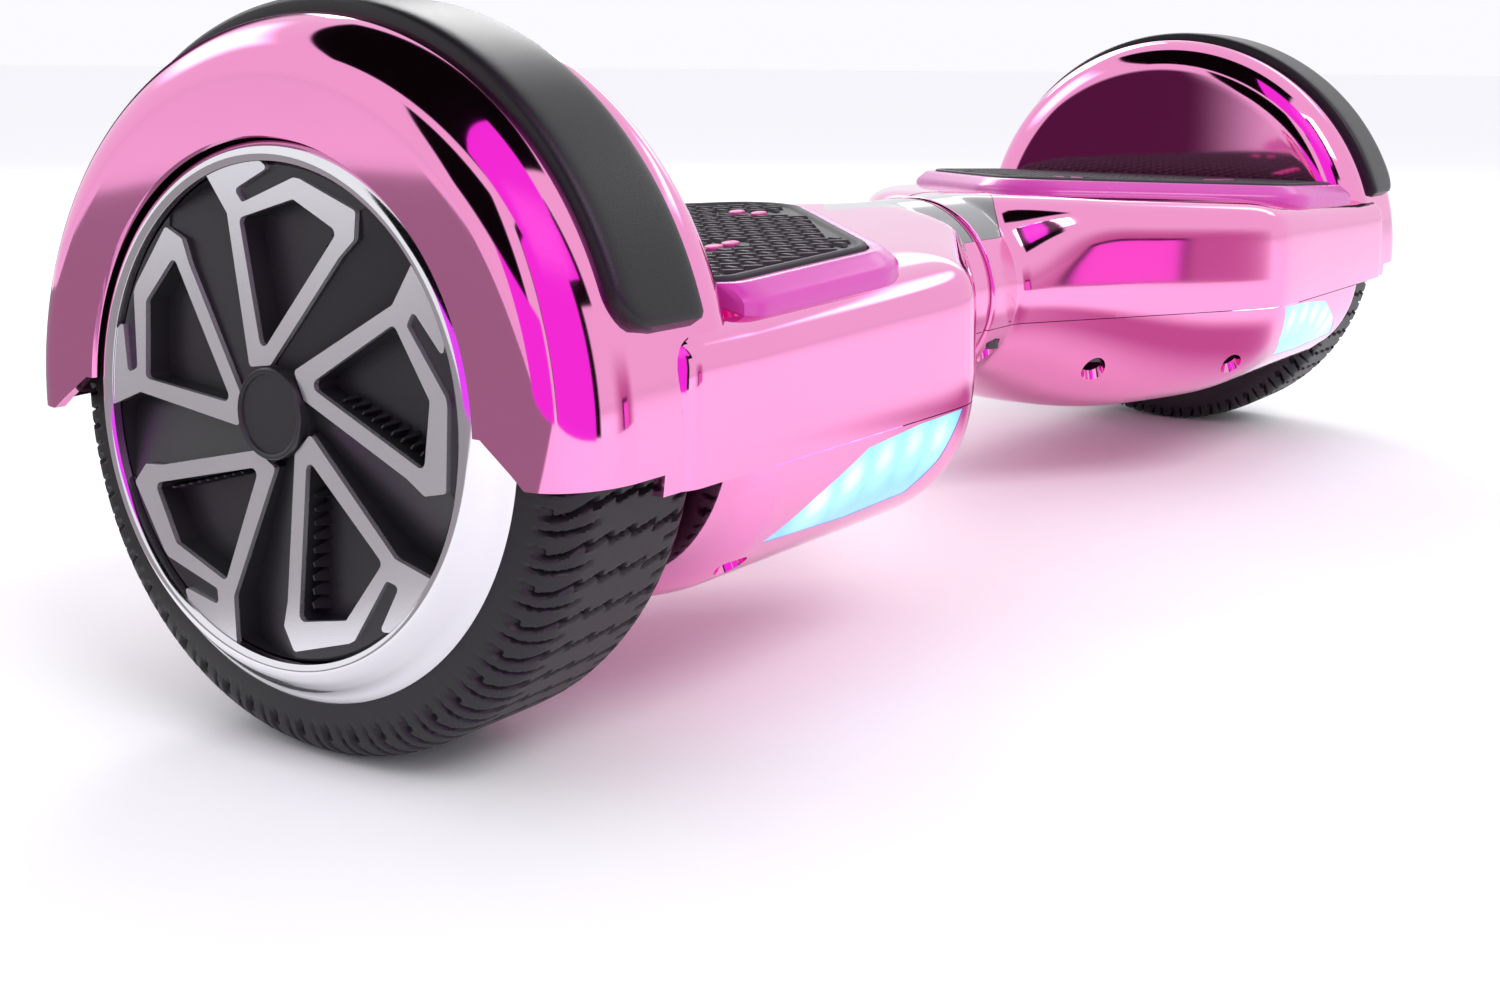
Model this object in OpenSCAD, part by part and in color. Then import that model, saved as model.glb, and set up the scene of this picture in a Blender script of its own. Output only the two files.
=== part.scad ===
// Self balancing board: two foot sections that swivel on a centre shaft, each with a hub motor wheel.
// Frame: X along the wheel axles (left half at -X), front face towards -Y, Z up, origin on the floor.

/* [Overall] */
// Length over the two wheel covers
board_length = 584; // [560:2:720]
// Depth of a foot section, front to back
board_depth = 186; // [160:2:240]
// Diameter of a tyre
wheel_d = 165; // [140:1:200]
// Width of a tyre
tyre_w = 47; // [36:1:52]

/* [Foot sections] */
// Wall of the moulded shells
wall = 3; // [2.4:0.1:4]
// Height of the deck above the axle, at the wheel
deck_rise = 25.5; // [24:0.5:34]
// Height of the underside below the axle
belly_drop = 54.5; // [50:0.5:62]
// Height of the parting line below the axle
seam_drop = 12; // [10:0.5:16]
// Radius of the neck around the centre shaft
neck_r = 33; // [31:0.5:38]
// Distance from the middle to where the neck flares out
neck_end = 22; // [20:1:28]
// Distance from the middle to the widest part of the foot section
flare_end = 125; // [105:1:140]
// Gap between the two halves at the middle
joint_gap = 2.4; // [1.6:0.2:4]

/* [Wheel covers] */
// Clear space between tyre and wheel cover
tyre_gap = 6; // [4:0.5:10]
// Space between the tyre's side and the cover's inner face
side_gap = 7; // [5:0.5:10]
// Radius of the arch in the cover's outer face
arch_r = 63.5; // [60:0.5:70]
// Rounding of the cover's outer edge, measured towards the axle
cover_round = 14; // [8:1:16]
// Rounding of the cover's outer edge, measured along the axle
cover_round_side = 20; // [12:1:24]
// Thickness of the bumper strip
bumper_t = 3.5; // [2:0.5:5]
// Width of the bumper strip
bumper_w = 28; // [20:1:32]

/* [Foot pads] */
// Slope of a foot pad, rising towards the middle
pad_tilt = 2.4; // [0:0.2:3]
// Half the width of a foot pad
pad_half_w = 80; // [70:1:84]
// Distance from the middle to a pad's inner tip
pad_tip = 87; // [84:1:100]
// Thickness of a foot pad
pad_t = 3.2; // [2.4:0.2:5]
// Travel of a foot pad
pad_travel = 1; // [0.5:0.1:1.4]
// Height of the sloping skirt around a pad
skirt_h = 5; // [4:0.5:7]

/* [Hub motor] */
// Diameter of the motor axle
axle_d = 16; // [12:0.5:18]
// Radius of the motor shell under the tyre
rim_r = 64; // [60:0.5:66]
// Wall of the motor shell
rim_wall = 5; // [4:0.5:7]
// Air gap between stator and magnets
air_gap = 0.8; // [0.5:0.1:1.2]
// Radius of the hubcap's face
hubcap_r = 57; // [50:0.5:59]
// Radius of the round cap in the middle of the hubcap
cap_r = 10.5; // [8:0.5:14]

/* [Centre shaft] */
// Diameter of the centre shaft
shaft_d = 30; // [24:0.5:34]
// Wall of the centre shaft
shaft_wall = 4; // [3:0.5:6]
// Wall of the swivel bushes
bush_t = 2; // [1.5:0.25:3]

/* [Clearances] */
// Running fit on a radius
run_fit = 0.05; // [0.02:0.01:0.1]
// Gap between parts that only lie against each other
fit = 0.3; // [0.2:0.05:0.4]

/* [Hidden] */
$fn = 72;
// Distances along X are measured from the middle outwards, and each half is a mirror image.
half = board_length / 2;
depth = board_depth / 2;
axle_z = wheel_d / 2;
well_gap = 5;
tyre_out = half - wall - side_gap;
tyre_in = tyre_out - tyre_w;
well_x = tyre_in - well_gap;
well_in = well_x - wall;
seam_z = axle_z - seam_drop;
body_mid_z = axle_z + 2.5;
cover_in_r = axle_z + tyre_gap;
cover_r = cover_in_r + wall;
cover_foot_round = 16;
well_hole_r = 14;
apron_x = half - 29;
cover_low = 7;
axle_r = axle_d / 2;
shaft_r = shaft_d / 2;
eps = 0.01;

// ---- curves and solids that several pieces share

// An arc of an ellipse as points, from angle a0 to a1
function arc(c, rx, ry, a0, a1, n = 8) =
    [for (i = [0:n]) let (a = a0 + (a1 - a0) * i / n) [c[0] + rx * cos(a), c[1] + ry * sin(a)]];
// Smooth step from 0 at s0 to 1 at s1
function ramp(s, s0, s1) = let (t = max(0, min(1, (s - s0) / (s1 - s0)))) t * t * (3 - 2 * t);
// The smaller of u and v, with the corner rounded
function soft_min(u, v, w) = (u + v - sqrt((u - v) * (u - v) + w * w)) / 2;
function signed_pow(v, p) = sign(v) * pow(abs(v), p);

// Half the depth, the rise above and the drop below the axle, and the profile's two exponents
flare_slope = (depth - neck_r) / (flare_end - neck_end);
function half_depth(s) = max(neck_r, soft_min(neck_r + flare_slope * (s - neck_end), depth, 3));
function top_rise(s) =
    neck_r + (deck_rise - neck_r) * max(0, min(1, (s - neck_end) / (well_x - neck_end)));
function low_drop(s) = neck_r + (belly_drop - neck_r) * ramp(s, neck_end - 6, flare_end * 0.8);
function mid_z(s) = axle_z + (body_mid_z - axle_z) * ramp(s, neck_end, flare_end);
function top_power(s) = 2 + 4.5 * ramp(s, neck_end - 2, neck_end + 40);
function low_power(s) = 2 + 0.8 * ramp(s, neck_end - 2, flare_end);

// One ring of the foot section's skin at distance s, moved in by inset
ring_points = 40;
function body_ring(s, inset) = [
    for (i = [0:ring_points - 1])
    let (t = 360 * i / ring_points, a = half_depth(s) - inset, up = sin(t) >= 0)
    let (b = (up ? axle_z + top_rise(s) - mid_z(s) : mid_z(s) - axle_z + low_drop(s)) - inset)
    let (p = 2 / (up ? top_power(s) : low_power(s)))
    [s, a * signed_pow(cos(t), p), mid_z(s) + b * signed_pow(sin(t), p)]
];

// A closed solid through rings that all have the same number of points
module skin(rings) {
    n = len(rings[0]);
    m = len(rings);
    sides = [
        for (j = [0:m - 2], i = [0:n - 1])
        [j * n + i, (j + 1) * n + i, (j + 1) * n + (i + 1) % n, j * n + (i + 1) % n]
    ];
    first_cap = [for (i = [0:n - 1]) i];
    last_cap = [for (i = [n - 1:-1:0]) (m - 1) * n + i];
    polyhedron(points = [for (r = rings) each r], faces = concat([first_cap], sides, [last_cap]), convexity = 6);
}

FLARE = [for (t = [0.04, 0.1, 0.18, 0.28, 0.42, 0.6, 0.8, 0.92, 1, 1.1])
    neck_end + t * (flare_end - neck_end)];
module body_solid(inset, from, to)
    skin([for (s = concat([from], [for (v = concat([neck_end], FLARE, [well_x])) if (v > from + 1 && v < to - 1) v], [to]))
        body_ring(s, inset)]);

// A ring turned about the axle line from (radius, distance) points
module about_axle(points)
    translate([0, 0, axle_z]) rotate([0, 90, 0]) rotate_extrude() polygon(points);
// A cylinder along the axle line
module rod(r, from, to)
    translate([from, 0, axle_z]) rotate([0, 90, 0]) cylinder(r = r, h = to - from);
module tube(r_out, r_in, from, to)
    about_axle([[r_in, from], [r_out, from], [r_out, to], [r_in, to]]);
// A box given by its low and high corners
module block(low, high) translate(low) cube(high - low);
// Everything above a height, out to well past the board
module above(z) block([-eps, -2 * depth, z], [half + 20, 2 * depth, 4 * axle_z]);
// One half's pieces are made on the right and mirrored for the left
module on_side(left) mirror([left ? 1 : 0, 0, 0]) children();

// ---- shells

// Each spot is a distance, a place across, and how far below the axle the screw's head seats
SCREW_SPOTS = [[12, neck_r - 8, 16.5], [neck_end + 41, 42, 26], [flare_end - 10, depth - 20, 26],
    [well_x - 12, depth - 22, 26]];
screw_r = 2;
post_r = 4.2;
recess_r = 4.6;
recess_wall = 1.8;
port_x = 150;
port_z = body_mid_z;
port_r = 8.8;
port_flange_r = 12.5;
port_pocket = 3.5;
body_start = joint_gap / 2;

// A piece turned to look out of the rear face at the port
module at_port() translate([port_x, depth, port_z]) rotate([-90, 0, 0]) children();

module cover_section() {
    foot_c = [cover_r - cover_foot_round, well_in + cover_foot_round];
    out_c = [cover_r - cover_round, half - cover_round_side];
    fr = cover_foot_round;
    about_axle(concat(
        [[well_hole_r, well_x], [well_hole_r, well_in]],
        arc(foot_c, fr, fr, -90, 0),
        arc(out_c, cover_round, cover_round_side, 0, 90),
        [[arch_r, half], [arch_r, half - wall]],
        arc(out_c, cover_round - wall, cover_round_side - wall, 90, 0),
        arc(foot_c, fr - wall, fr - wall, 0, -90)
    ));
}

module wheel_cover() {
    difference() {
        cover_section();
        block([0, -2 * depth, -2 * axle_z], [apron_x, 2 * depth, seam_z + fit / 2]);
        block([apron_x - eps, -2 * depth, -2 * axle_z], [half + 1, 2 * depth, axle_z - cover_low]);
        translate([half - 2 * wall, 0, axle_z])
            rotate([90, 0, 90])
            linear_extrude(3 * wall)
            polygon([[-65, 2], [-73.5, -4], [-80, -9], [80, -9], [73.5, -4], [65, 2]]);
    }
}

module headlight_prism(gap) {
    edge = [
        [flare_end + 6, -12.5], [flare_end + 30, -13], [flare_end + 55, -15], [flare_end + 75, -24],
        [flare_end + 90, -33], [flare_end + 50, -35], [flare_end + 21, -34], [flare_end + 12, -26]
    ];
    c = [flare_end + 45, -24];
    translate([0, -depth / 2, axle_z])
        rotate([90, 0, 0])
        linear_extrude(depth)
        polygon([for (p = edge) p + gap * (p - c) / norm(p - c)]);
}

module window_prism(gap) {
    edge = [[body_start + 1.5, -27], [neck_end - 4, -27], [neck_end + 4, -20], [neck_end + 34, 0],
        [neck_end + 4, 20], [neck_end - 4, 27], [body_start + 1.5, 27]];
    c = [neck_end, 0];
    translate([0, 0, axle_z + 5])
        linear_extrude(neck_r)
        polygon([for (p = edge) p + gap * (p - c) / norm(p - c)]);
}

module top_shell(has_port = true) color([0.93, 0.35, 0.68]) {
    difference() {
        union() {
            difference() {
                body_solid(0, body_start, apron_x);
                body_solid(wall, body_start - 1, apron_x + 1);
                rod(cover_in_r, well_in + 1, half);
                block([0, -2 * depth, -2 * axle_z], [half, 2 * depth, seam_z + fit / 2]);
            }
            wheel_cover();
            intersection() {
                body_solid(0, body_start, well_x);
                union() {
                    for (p = SCREW_SPOTS, e = [-1, 1])
                        translate([p[0], e * p[1], seam_z + fit / 2]) cylinder(r = post_r, h = neck_r + 20);
                    at_port() translate([0, 0, -port_pocket - wall]) cylinder(r = port_flange_r + 3, h = 20);
                }
            }
        }
        block([0, -2 * depth, 0], [well_x + wall, 2 * depth, seam_z + fit / 2]);
        block([pad_tip + 23, -52, axle_z + 16], [well_in - 12, 52, axle_z + 60]);
        window_prism(fit);
        for (p = SCREW_SPOTS, e = [-1, 1])
            translate([p[0], e * p[1], seam_z]) cylinder(r = screw_r + run_fit, h = 13);
        at_port() translate([0, 0, -port_pocket]) cylinder(r = port_flange_r + fit, h = 20);
        at_port() translate([0, 0, -30]) cylinder(r = port_r + fit, h = 40);
    }
}

end_round = 12;
board_y = 20.5 - depth;
function end_inset(t) = end_round * (1 - sqrt(1 - t * t));
module bottom_shell() color([0.93, 0.45, 0.72]) {
    steps = [0.35, 0.6, 0.8, 0.93, 1];
    stations = concat([body_start, neck_end], FLARE, [well_x - end_round - 20, well_x - end_round]);
    outer = concat([for (s = stations) body_ring(s, 0)],
        [for (t = steps) body_ring(well_x - end_round + end_round * t, end_inset(t) * 0.98)]);
    difference() {
        skin(outer);
        body_solid(wall, body_start - 1, well_x - end_round - 2);
        body_solid(end_round + 1, well_x - end_round - 3, well_in);
        rod(well_hole_r, well_in - 20, half);
        above(seam_z - fit / 2);
        headlight_prism(fit);
        for (p = SCREW_SPOTS, e = [-1, 1])
            translate([p[0], e * p[1], 0]) {
                cylinder(r = recess_r, h = axle_z - p[2]);
                cylinder(r = screw_r + run_fit, h = axle_z);
            }
    }
    intersection() {
        body_solid(0, body_start, well_x);
        union() {
            for (p = SCREW_SPOTS, e = [-1, 1])
                translate([p[0], e * p[1], 0]) difference() {
                    cylinder(r = recess_r + recess_wall, h = seam_z - fit / 2);
                    translate([0, 0, -1]) cylinder(r = recess_r, h = axle_z - p[2] + 1);
                    cylinder(r = screw_r + run_fit, h = seam_z);
                }
            for (x = [flare_end + 8, flare_end + 77])
                translate([x, board_y, axle_z - 22]) rotate([90, 0, 0]) cylinder(r = 2.5, h = depth);
        }
    }
}

module shell_screws() color([0.3, 0.3, 0.32]) {
    for (p = SCREW_SPOTS, e = [-1, 1])
        translate([p[0], e * p[1], axle_z - p[2] - 3.2]) {
            cylinder(r = recess_r - 0.6, h = 3.2);
            cylinder(r = screw_r, h = p[2] - seam_drop + 12);
        }
}

// Radius of the wheel cover's outer skin and the bumper's height above it at distance x
bumper_mid = half - 30;
function cover_skin(x) =
    let (t = max(0, x - half + cover_round_side) / cover_round_side)
    cover_r - cover_round * (1 - sqrt(1 - t * t));
function bumper_crown(x) = bumper_t * sqrt(max(0.04, 1 - pow(abs(2 * (x - bumper_mid) / bumper_w), 4)));
module bumper() color([0.09, 0.09, 0.1]) {
    n = 12;
    xs = [for (i = [0:n]) bumper_mid - bumper_w / 2 + bumper_w * i / n];
    difference() {
        about_axle(concat([for (x = xs) [cover_skin(x) + run_fit, x]],
            [for (i = [n:-1:0]) [cover_skin(xs[i]) + bumper_crown(xs[i]), xs[i]]]));
        block([0, -2 * depth, -2 * axle_z], [half, 2 * depth, axle_z + 23.5]);
    }
}

module headlight_lens() color([0.55, 0.85, 1, 0.8]) {
    intersection() {
        difference() {
            body_solid(0, flare_end + 2, well_x - 4);
            body_solid(wall - 0.5, flare_end + 1, well_x);
        }
        headlight_prism(0);
    }
}

module headlight_board() color([0.85, 0.95, 1]) {
    y = board_y;
    block([flare_end + 5, y, axle_z - 31], [flare_end + 80, y + 1.6, axle_z - 15]);
    for (i = [0:4])
        translate([flare_end + 16 + 13 * i, y, axle_z - 19 - 1.6 * i]) rotate([90, 0, 0]) cylinder(r = 2.5, h = 1.5);
}

module indicator_window() color([0.45, 0.45, 0.47, 0.9]) {
    intersection() {
        difference() {
            body_solid(0, body_start + 0.5, neck_end + 60);
            body_solid(wall - 0.5, body_start, neck_end + 61);
        }
        window_prism(0);
    }
}

// ---- foot pads

pad_corner_r = 22;
pad_end_r = 6;
pad_end_x = well_in - 1.5;
pad_corner_x = flare_end + 43;
// The pad's outline, grown by g, with its long sides running in to the tip
function pad_outline(g) =
    let (a = [pad_tip + pad_corner_r, 0], b = [pad_corner_x, -(pad_half_w - pad_corner_r)])
    let (c = [pad_end_x - pad_end_r, -(pad_half_w - pad_end_r)], d = b - a)
    let (turn = 360 + atan2(-d[0], d[1]), r = pad_corner_r + g, q = pad_end_r + g)
    concat(
        arc(a, r, r, 360 - turn, turn), arc(b, r, r, turn, 270, 5), arc(c, q, q, 270, 360, 4),
        arc([c[0], -c[1]], q, q, 0, 90, 4), arc([b[0], -b[1]], r, r, 90, 360 - turn, 5)
    );
pad_base_z = axle_z + deck_rise - 1;
module tilted() translate([well_in, 0, pad_base_z]) rotate([0, pad_tilt, 0]) translate([-well_in, 0, 0]) children();
function pad_ring(g, z) = [for (p = pad_outline(g)) [min(p[0], well_in - fit), p[1], z]];

module pad_skirt() color([0.75, 0.3, 0.7]) {
    difference() {
        tilted() difference() {
            skin([pad_ring(8, -9), pad_ring(8, 0.6), pad_ring(7, 2.6), pad_ring(3.5, skirt_h)]);
            translate([0, 0, -10]) linear_extrude(skirt_h + 12) polygon(pad_outline(fit));
        }
        body_solid(0, body_start, apron_x);
    }
}

board_z = axle_z + 8.5;
switch_h = 3;
SWITCHES = [for (x = [flare_end, flare_end + 55], y = [-30, 30]) [x, y]];
module foot_pad() color([0.1, 0.1, 0.11]) {
    tilted() translate([0, 0, skirt_h + 1 - pad_t]) linear_extrude(pad_t) polygon(pad_outline(-fit));
    post_low = board_z + 1.6 + switch_h + pad_travel + fit;
    for (p = SWITCHES)
        translate([p[0], p[1], post_low])
            cylinder(r = 4, h = pad_base_z + skirt_h - 1.5 + (well_in - p[0]) * tan(pad_tilt) - post_low);
}

module sensor_board() color([0.1, 0.35, 0.2]) {
    block([flare_end - 12, -42, board_z], [flare_end + 66, 42, board_z + 1.6]);
    for (p = SWITCHES)
        block([p[0] - 3, p[1] - 3, board_z + 1.6 - eps], [p[0] + 3, p[1] + 3, board_z + 1.6 + switch_h]);
}

// ---- chassis and centre shaft

plate_top = axle_z - axle_r - 0.5;
plate_t = 5;
plate_from = neck_end + 22;
plate_full = flare_end - 20;
plate_w = 58;
hub_block_r = min(neck_r - wall - 4, shaft_r + 9);
hub_from = neck_end + 3;
hub_to = neck_end + 38;
clamp_w = 24;
clamp_from = well_in - 34;
clamp_to = well_in - 3;
CLAMP_BOLTS = [for (x = [clamp_from + 7, clamp_to - 7], y = [-17, 17]) [x, y]];
bolt_r = 2.5;
cable_r = 5;
cable_hole_x = hub_to + 16;

module chassis(bore_r) color([0.62, 0.63, 0.66]) {
    difference() {
        union() {
            translate([0, 0, plate_top - plate_t])
                linear_extrude(plate_t)
                polygon([[plate_from, -24], [plate_full, -plate_w], [well_in - 1, -plate_w],
                    [well_in - 1, plate_w], [plate_full, plate_w], [plate_from, 24]]);
            rod(hub_block_r, hub_from, hub_to);
            block([hub_from + 6, -14, plate_top - plate_t], [hub_to, 14, axle_z]);
            block([clamp_from, -clamp_w, plate_top - plate_t], [clamp_to, clamp_w, axle_z - 0.4]);
            for (y = [-plate_w, plate_w - 4])
                block([plate_full, y, plate_top - plate_t], [well_in - 1, y + 4, plate_top + 9]);
            for (x = [flare_end - 8, flare_end + 62], y = [-38, 38])
                translate([x, y, plate_top - 1]) cylinder(r = 3, h = board_z - plate_top + 1);
        }
        rod(bore_r, hub_from - 1, hub_to + 1);
        rod(shaft_r + 8, hub_to, hub_to + 10);
        for (p = SCREW_SPOTS, e = [-1, 1])
            translate([p[0], e * p[1], 0]) cylinder(r = recess_r + recess_wall + fit, h = 2 * axle_z);
        rod(axle_r + run_fit, clamp_from - 1, well_x);
        for (p = CLAMP_BOLTS)
            translate([p[0], p[1], plate_top - plate_t - 1]) cylinder(r = bolt_r + run_fit, h = 40);
        translate([cable_hole_x, 0, plate_top - 2 * plate_t]) cylinder(r = cable_r + 1.5, h = 4 * plate_t);
    }
}

clamp_top = axle_z + axle_r + 5;
module axle_clamp() color([0.55, 0.56, 0.58]) {
    difference() {
        block([clamp_from, -clamp_w, axle_z + 0.4], [clamp_to, clamp_w, clamp_top]);
        rod(axle_r + run_fit, clamp_from - 1, well_x);
        for (p = CLAMP_BOLTS)
            translate([p[0], p[1], axle_z]) cylinder(r = bolt_r + run_fit, h = 40);
    }
}

module clamp_bolts() color([0.25, 0.25, 0.27]) {
    for (p = CLAMP_BOLTS)
        translate([p[0], p[1], clamp_top]) {
            cylinder(r = 4.5, h = 4.5);
            translate([0, 0, plate_top - plate_t - clamp_top]) cylinder(r = bolt_r, h = clamp_top - plate_top + plate_t);
        }
}

bush_len = 12;
flange_t = 2;
clip_x = hub_to + flange_t + 0.4;
clip_t = 2;
module pivot_shaft() color([0.7, 0.71, 0.74]) {
    difference() {
        tube(shaft_r, shaft_r - shaft_wall, -hub_to - 4, clip_x + clip_t + 3);
        tube(shaft_r + 1, shaft_r - 1.2, clip_x, clip_x + clip_t);
    }
}
module pivot_circlip() color([0.2, 0.2, 0.22]) {
    difference() {
        tube(shaft_r + 3.5, shaft_r - 1.2 + run_fit, clip_x + 0.1, clip_x + clip_t - 0.1);
        block([clip_x - 1, -4, axle_z], [clip_x + clip_t + 1, 4, axle_z + 2 * shaft_r]);
    }
}
module pivot_bushes() color([0.75, 0.6, 0.3]) {
    for (e = [0, 1]) {
        body_from = e == 0 ? hub_from : hub_to - bush_len;
        flange_from = e == 0 ? hub_from - flange_t : hub_to;
        tube(shaft_r + bush_t, shaft_r + run_fit, body_from, body_from + bush_len);
        tube(shaft_r + bush_t + 4, shaft_r + run_fit, flange_from, flange_from + flange_t);
    }
}
module joint_seal() color([0.8, 0.1, 0.5]) {
    tube(neck_r - 1.2, neck_r - wall - 2, -body_start + 0.1, body_start - fit);
}

// ---- power and controls

battery_l = 95;
battery_w = 88;
battery_h = 30;
battery_x = flare_end - 10;
module battery_pack() color([0.15, 0.35, 0.6]) {
    top = plate_top - plate_t;
    block([battery_x, -battery_w / 2, top - battery_h], [battery_x + battery_l, battery_w / 2, top]);
}
module main_board() color([0.08, 0.3, 0.16]) {
    low = plate_top + 0.1;
    front = cable_hole_x + 6;
    block([front, -33, low], [clamp_from - 3, 33, low + 1.6]);
    block([front, -9, low], [front + 14, 9, axle_z - cable_r - fit]);
    for (i = [0:5])
        block([front + 24 + 12 * i, -31, low], [front + 31 + 12 * i, -22, low + 9]);
    block([front + 20, 8, low], [front + 44, 31, low + 9]);
}
module link_cable() color([0.12, 0.12, 0.13]) {
    low = plate_top - plate_t - 10;
    rod(cable_r, -cable_hole_x - cable_r, cable_hole_x + 18);
    translate([-cable_hole_x, 0, low]) cylinder(r = cable_r, h = axle_z - low);
    translate([-battery_x + 0.05, 0, low + cable_r]) rotate([0, 90, 0]) cylinder(r = cable_r, h = battery_x - cable_hole_x);
}

button_r = 6.7;
button_travel = 1;
module port_body(bore) {
    difference() {
        union() {
            translate([0, 0, -24]) cylinder(r = port_r, h = 24 - port_pocket);
            translate([0, 0, -port_pocket]) cylinder(r = port_flange_r, h = 1.6);
        }
        translate([0, 0, -16]) cylinder(r = bore, h = 20);
    }
}
module button_switch() color([0.12, 0.12, 0.13]) at_port() port_body(button_r + fit);
module power_button() color([0.75, 0.76, 0.78])
    at_port() translate([0, 0, -16 + button_travel + fit]) cylinder(r = button_r, h = 14.4 - button_travel);
socket_r = 6;
module charge_socket() color([0.2, 0.2, 0.22]) at_port() port_body(socket_r);

// ---- wheel

rim_in = tyre_in + 2;
rim_out = tyre_out - 1;
face_t = 4;
bearing_r = axle_r + 7;
bearing_t = 8;
magnet_t = 3;
shell_in_r = rim_r - rim_wall;
module tyre() color([0.11, 0.11, 0.12]) {
    shoulder = 9;
    about_axle(concat(
        [[rim_r + run_fit, tyre_in + 3], [rim_r + 4, tyre_in + 1]],
        arc([axle_z - shoulder, tyre_in + shoulder], shoulder, shoulder, -90, 0, 6),
        arc([axle_z - shoulder, tyre_out - shoulder], shoulder, shoulder, 0, 90, 6),
        [[rim_r + 5, tyre_out + 0.8], [rim_r + 4 + fit, tyre_out + 0.8], [rim_r + 4 + fit, rim_out],
            [rim_r + run_fit, rim_out]]
    ));
}
module motor_shell() color([0.7, 0.7, 0.72]) {
    difference() {
        rod(rim_r, rim_in, rim_out);
        rod(shell_in_r, rim_in - 1, rim_out - face_t);
        rod(bearing_r - 3, rim_in, rim_out + 1);
    }
    tube(bearing_r + 4, bearing_r, rim_out - face_t - bearing_t, rim_out - face_t + eps);
}
cover_t = 4;
module motor_cover() color([0.6, 0.6, 0.63]) {
    tube(shell_in_r - run_fit, axle_r + 2, rim_in, rim_in + cover_t);
    tube(bearing_r + 4, bearing_r, rim_in + cover_t - eps, rim_in + cover_t + bearing_t);
}
module wheel_bearings() color([0.8, 0.8, 0.83]) {
    for (x = [rim_in + cover_t, rim_out - face_t - bearing_t])
        tube(bearing_r - run_fit, axle_r + run_fit, x + run_fit, x + bearing_t - run_fit);
}
module magnet_ring() color([0.4, 0.4, 0.43]) {
    tube(shell_in_r - run_fit, shell_in_r - magnet_t, rim_in + cover_t + 1, rim_out - face_t - 1);
}
stator_r = shell_in_r - magnet_t - air_gap;
stator_from = rim_in + cover_t + bearing_t + 2;
stator_to = rim_out - face_t - bearing_t - 2;
poles = 27;
pole_w = 5;
module stator() color([0.7, 0.4, 0.2]) {
    tube(stator_r - 16, axle_r + run_fit, stator_from, stator_to);
    for (i = [0:poles - 1])
        translate([0, 0, axle_z]) rotate([i * 360 / poles, 0, 0])
            block([stator_from + 1, -pole_w / 2, stator_r - 18], [stator_to - 1, pole_w / 2, stator_r - 1]);
}
module axle() color([0.75, 0.76, 0.78]) {
    rod(axle_r, clamp_from - 2, rim_out - face_t);
}
module chrome_ring() color([0.9, 0.9, 0.92]) {
    about_axle([[hubcap_r + fit, rim_out + run_fit], [rim_r + 3.6, rim_out + run_fit + 0.95],
        [rim_r + 4, tyre_out + 1], [hubcap_r + 4, half - 3], [hubcap_r + fit, half - 2]]);
}
hub_face = half - 2.2;
petals = 5;
module hubcap() color([0.16, 0.16, 0.17]) {
    difference() {
        rod(hubcap_r, rim_out + run_fit, hub_face - 1.5);
        for (i = [0:petals - 1])
            translate([hub_face - 5, 0, axle_z])
                rotate([i * 360 / petals + 12, 0, 0])
                rotate([90, 0, 90])
                linear_extrude(6)
                polygon([[-4, 18], [7, 19], [17, 38], [12, 47], [-10, 48]]);
    }
}
spoke_w = 2.2;
module spoke(from, to) {
    d = to - from;
    translate(from) rotate(atan2(d[1], d[0])) translate([0, -spoke_w / 2]) square([norm(d), spoke_w]);
}
module spoke_trim() color([0.85, 0.85, 0.87]) {
    hook = [[-7, cap_r], [-19.5, 43], [-15, 50], [3, 52.5], [22, 46], [15, 41], [4, cap_r - 1]];
    for (i = [0:petals - 1])
        translate([hub_face - 1.5 + run_fit, 0, axle_z])
            rotate([i * 360 / petals, 0, 0])
            rotate([90, 0, 90])
            linear_extrude(1.2)
            difference() {
                union() for (k = [0:len(hook) - 2]) spoke(hook[k], hook[k + 1]);
                circle(r = cap_r + fit);
            }
}
module centre_cap() color([0.2, 0.2, 0.21]) {
    rod(cap_r, hub_face - 1.5 + run_fit, hub_face + 0.9);
    tube(cap_r, cap_r - 1.5, hub_face, hub_face + 1.4);
}

on_side(true) top_shell();  // left_top_shell
on_side(true) bottom_shell();  // left_bottom_shell
on_side(true) bumper();  // left_bumper
on_side(true) pad_skirt();  // left_pad_skirt
on_side(true) foot_pad();  // left_foot_pad
on_side(true) headlight_lens();  // left_headlight_lens
on_side(true) headlight_board();  // left_headlight_board
on_side(true) indicator_window();  // left_indicator_window
on_side(true) chassis(shaft_r + run_fit);  // left_chassis
on_side(true) sensor_board();  // left_sensor_board
on_side(true) axle_clamp();  // left_axle_clamp
on_side(true) clamp_bolts();  // left_clamp_bolts
on_side(true) shell_screws();  // left_shell_screws
on_side(true) axle();  // left_axle
on_side(true) stator();  // left_stator
on_side(true) tyre();  // left_tyre
on_side(true) motor_shell();  // left_motor_shell
on_side(true) motor_cover();  // left_motor_cover
on_side(true) magnet_ring();  // left_magnet_ring
on_side(true) wheel_bearings();  // left_wheel_bearings
on_side(true) chrome_ring();  // left_chrome_ring
on_side(true) hubcap();  // left_hubcap
on_side(true) spoke_trim();  // left_spoke_trim
on_side(true) centre_cap();  // left_centre_cap
on_side(false) top_shell();  // right_top_shell
on_side(false) bottom_shell();  // right_bottom_shell
on_side(false) bumper();  // right_bumper
on_side(false) pad_skirt();  // right_pad_skirt
on_side(false) foot_pad();  // right_foot_pad
on_side(false) headlight_lens();  // right_headlight_lens
on_side(false) headlight_board();  // right_headlight_board
on_side(false) indicator_window();  // right_indicator_window
on_side(false) chassis(shaft_r + bush_t + run_fit);  // right_chassis
on_side(false) sensor_board();  // right_sensor_board
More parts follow.
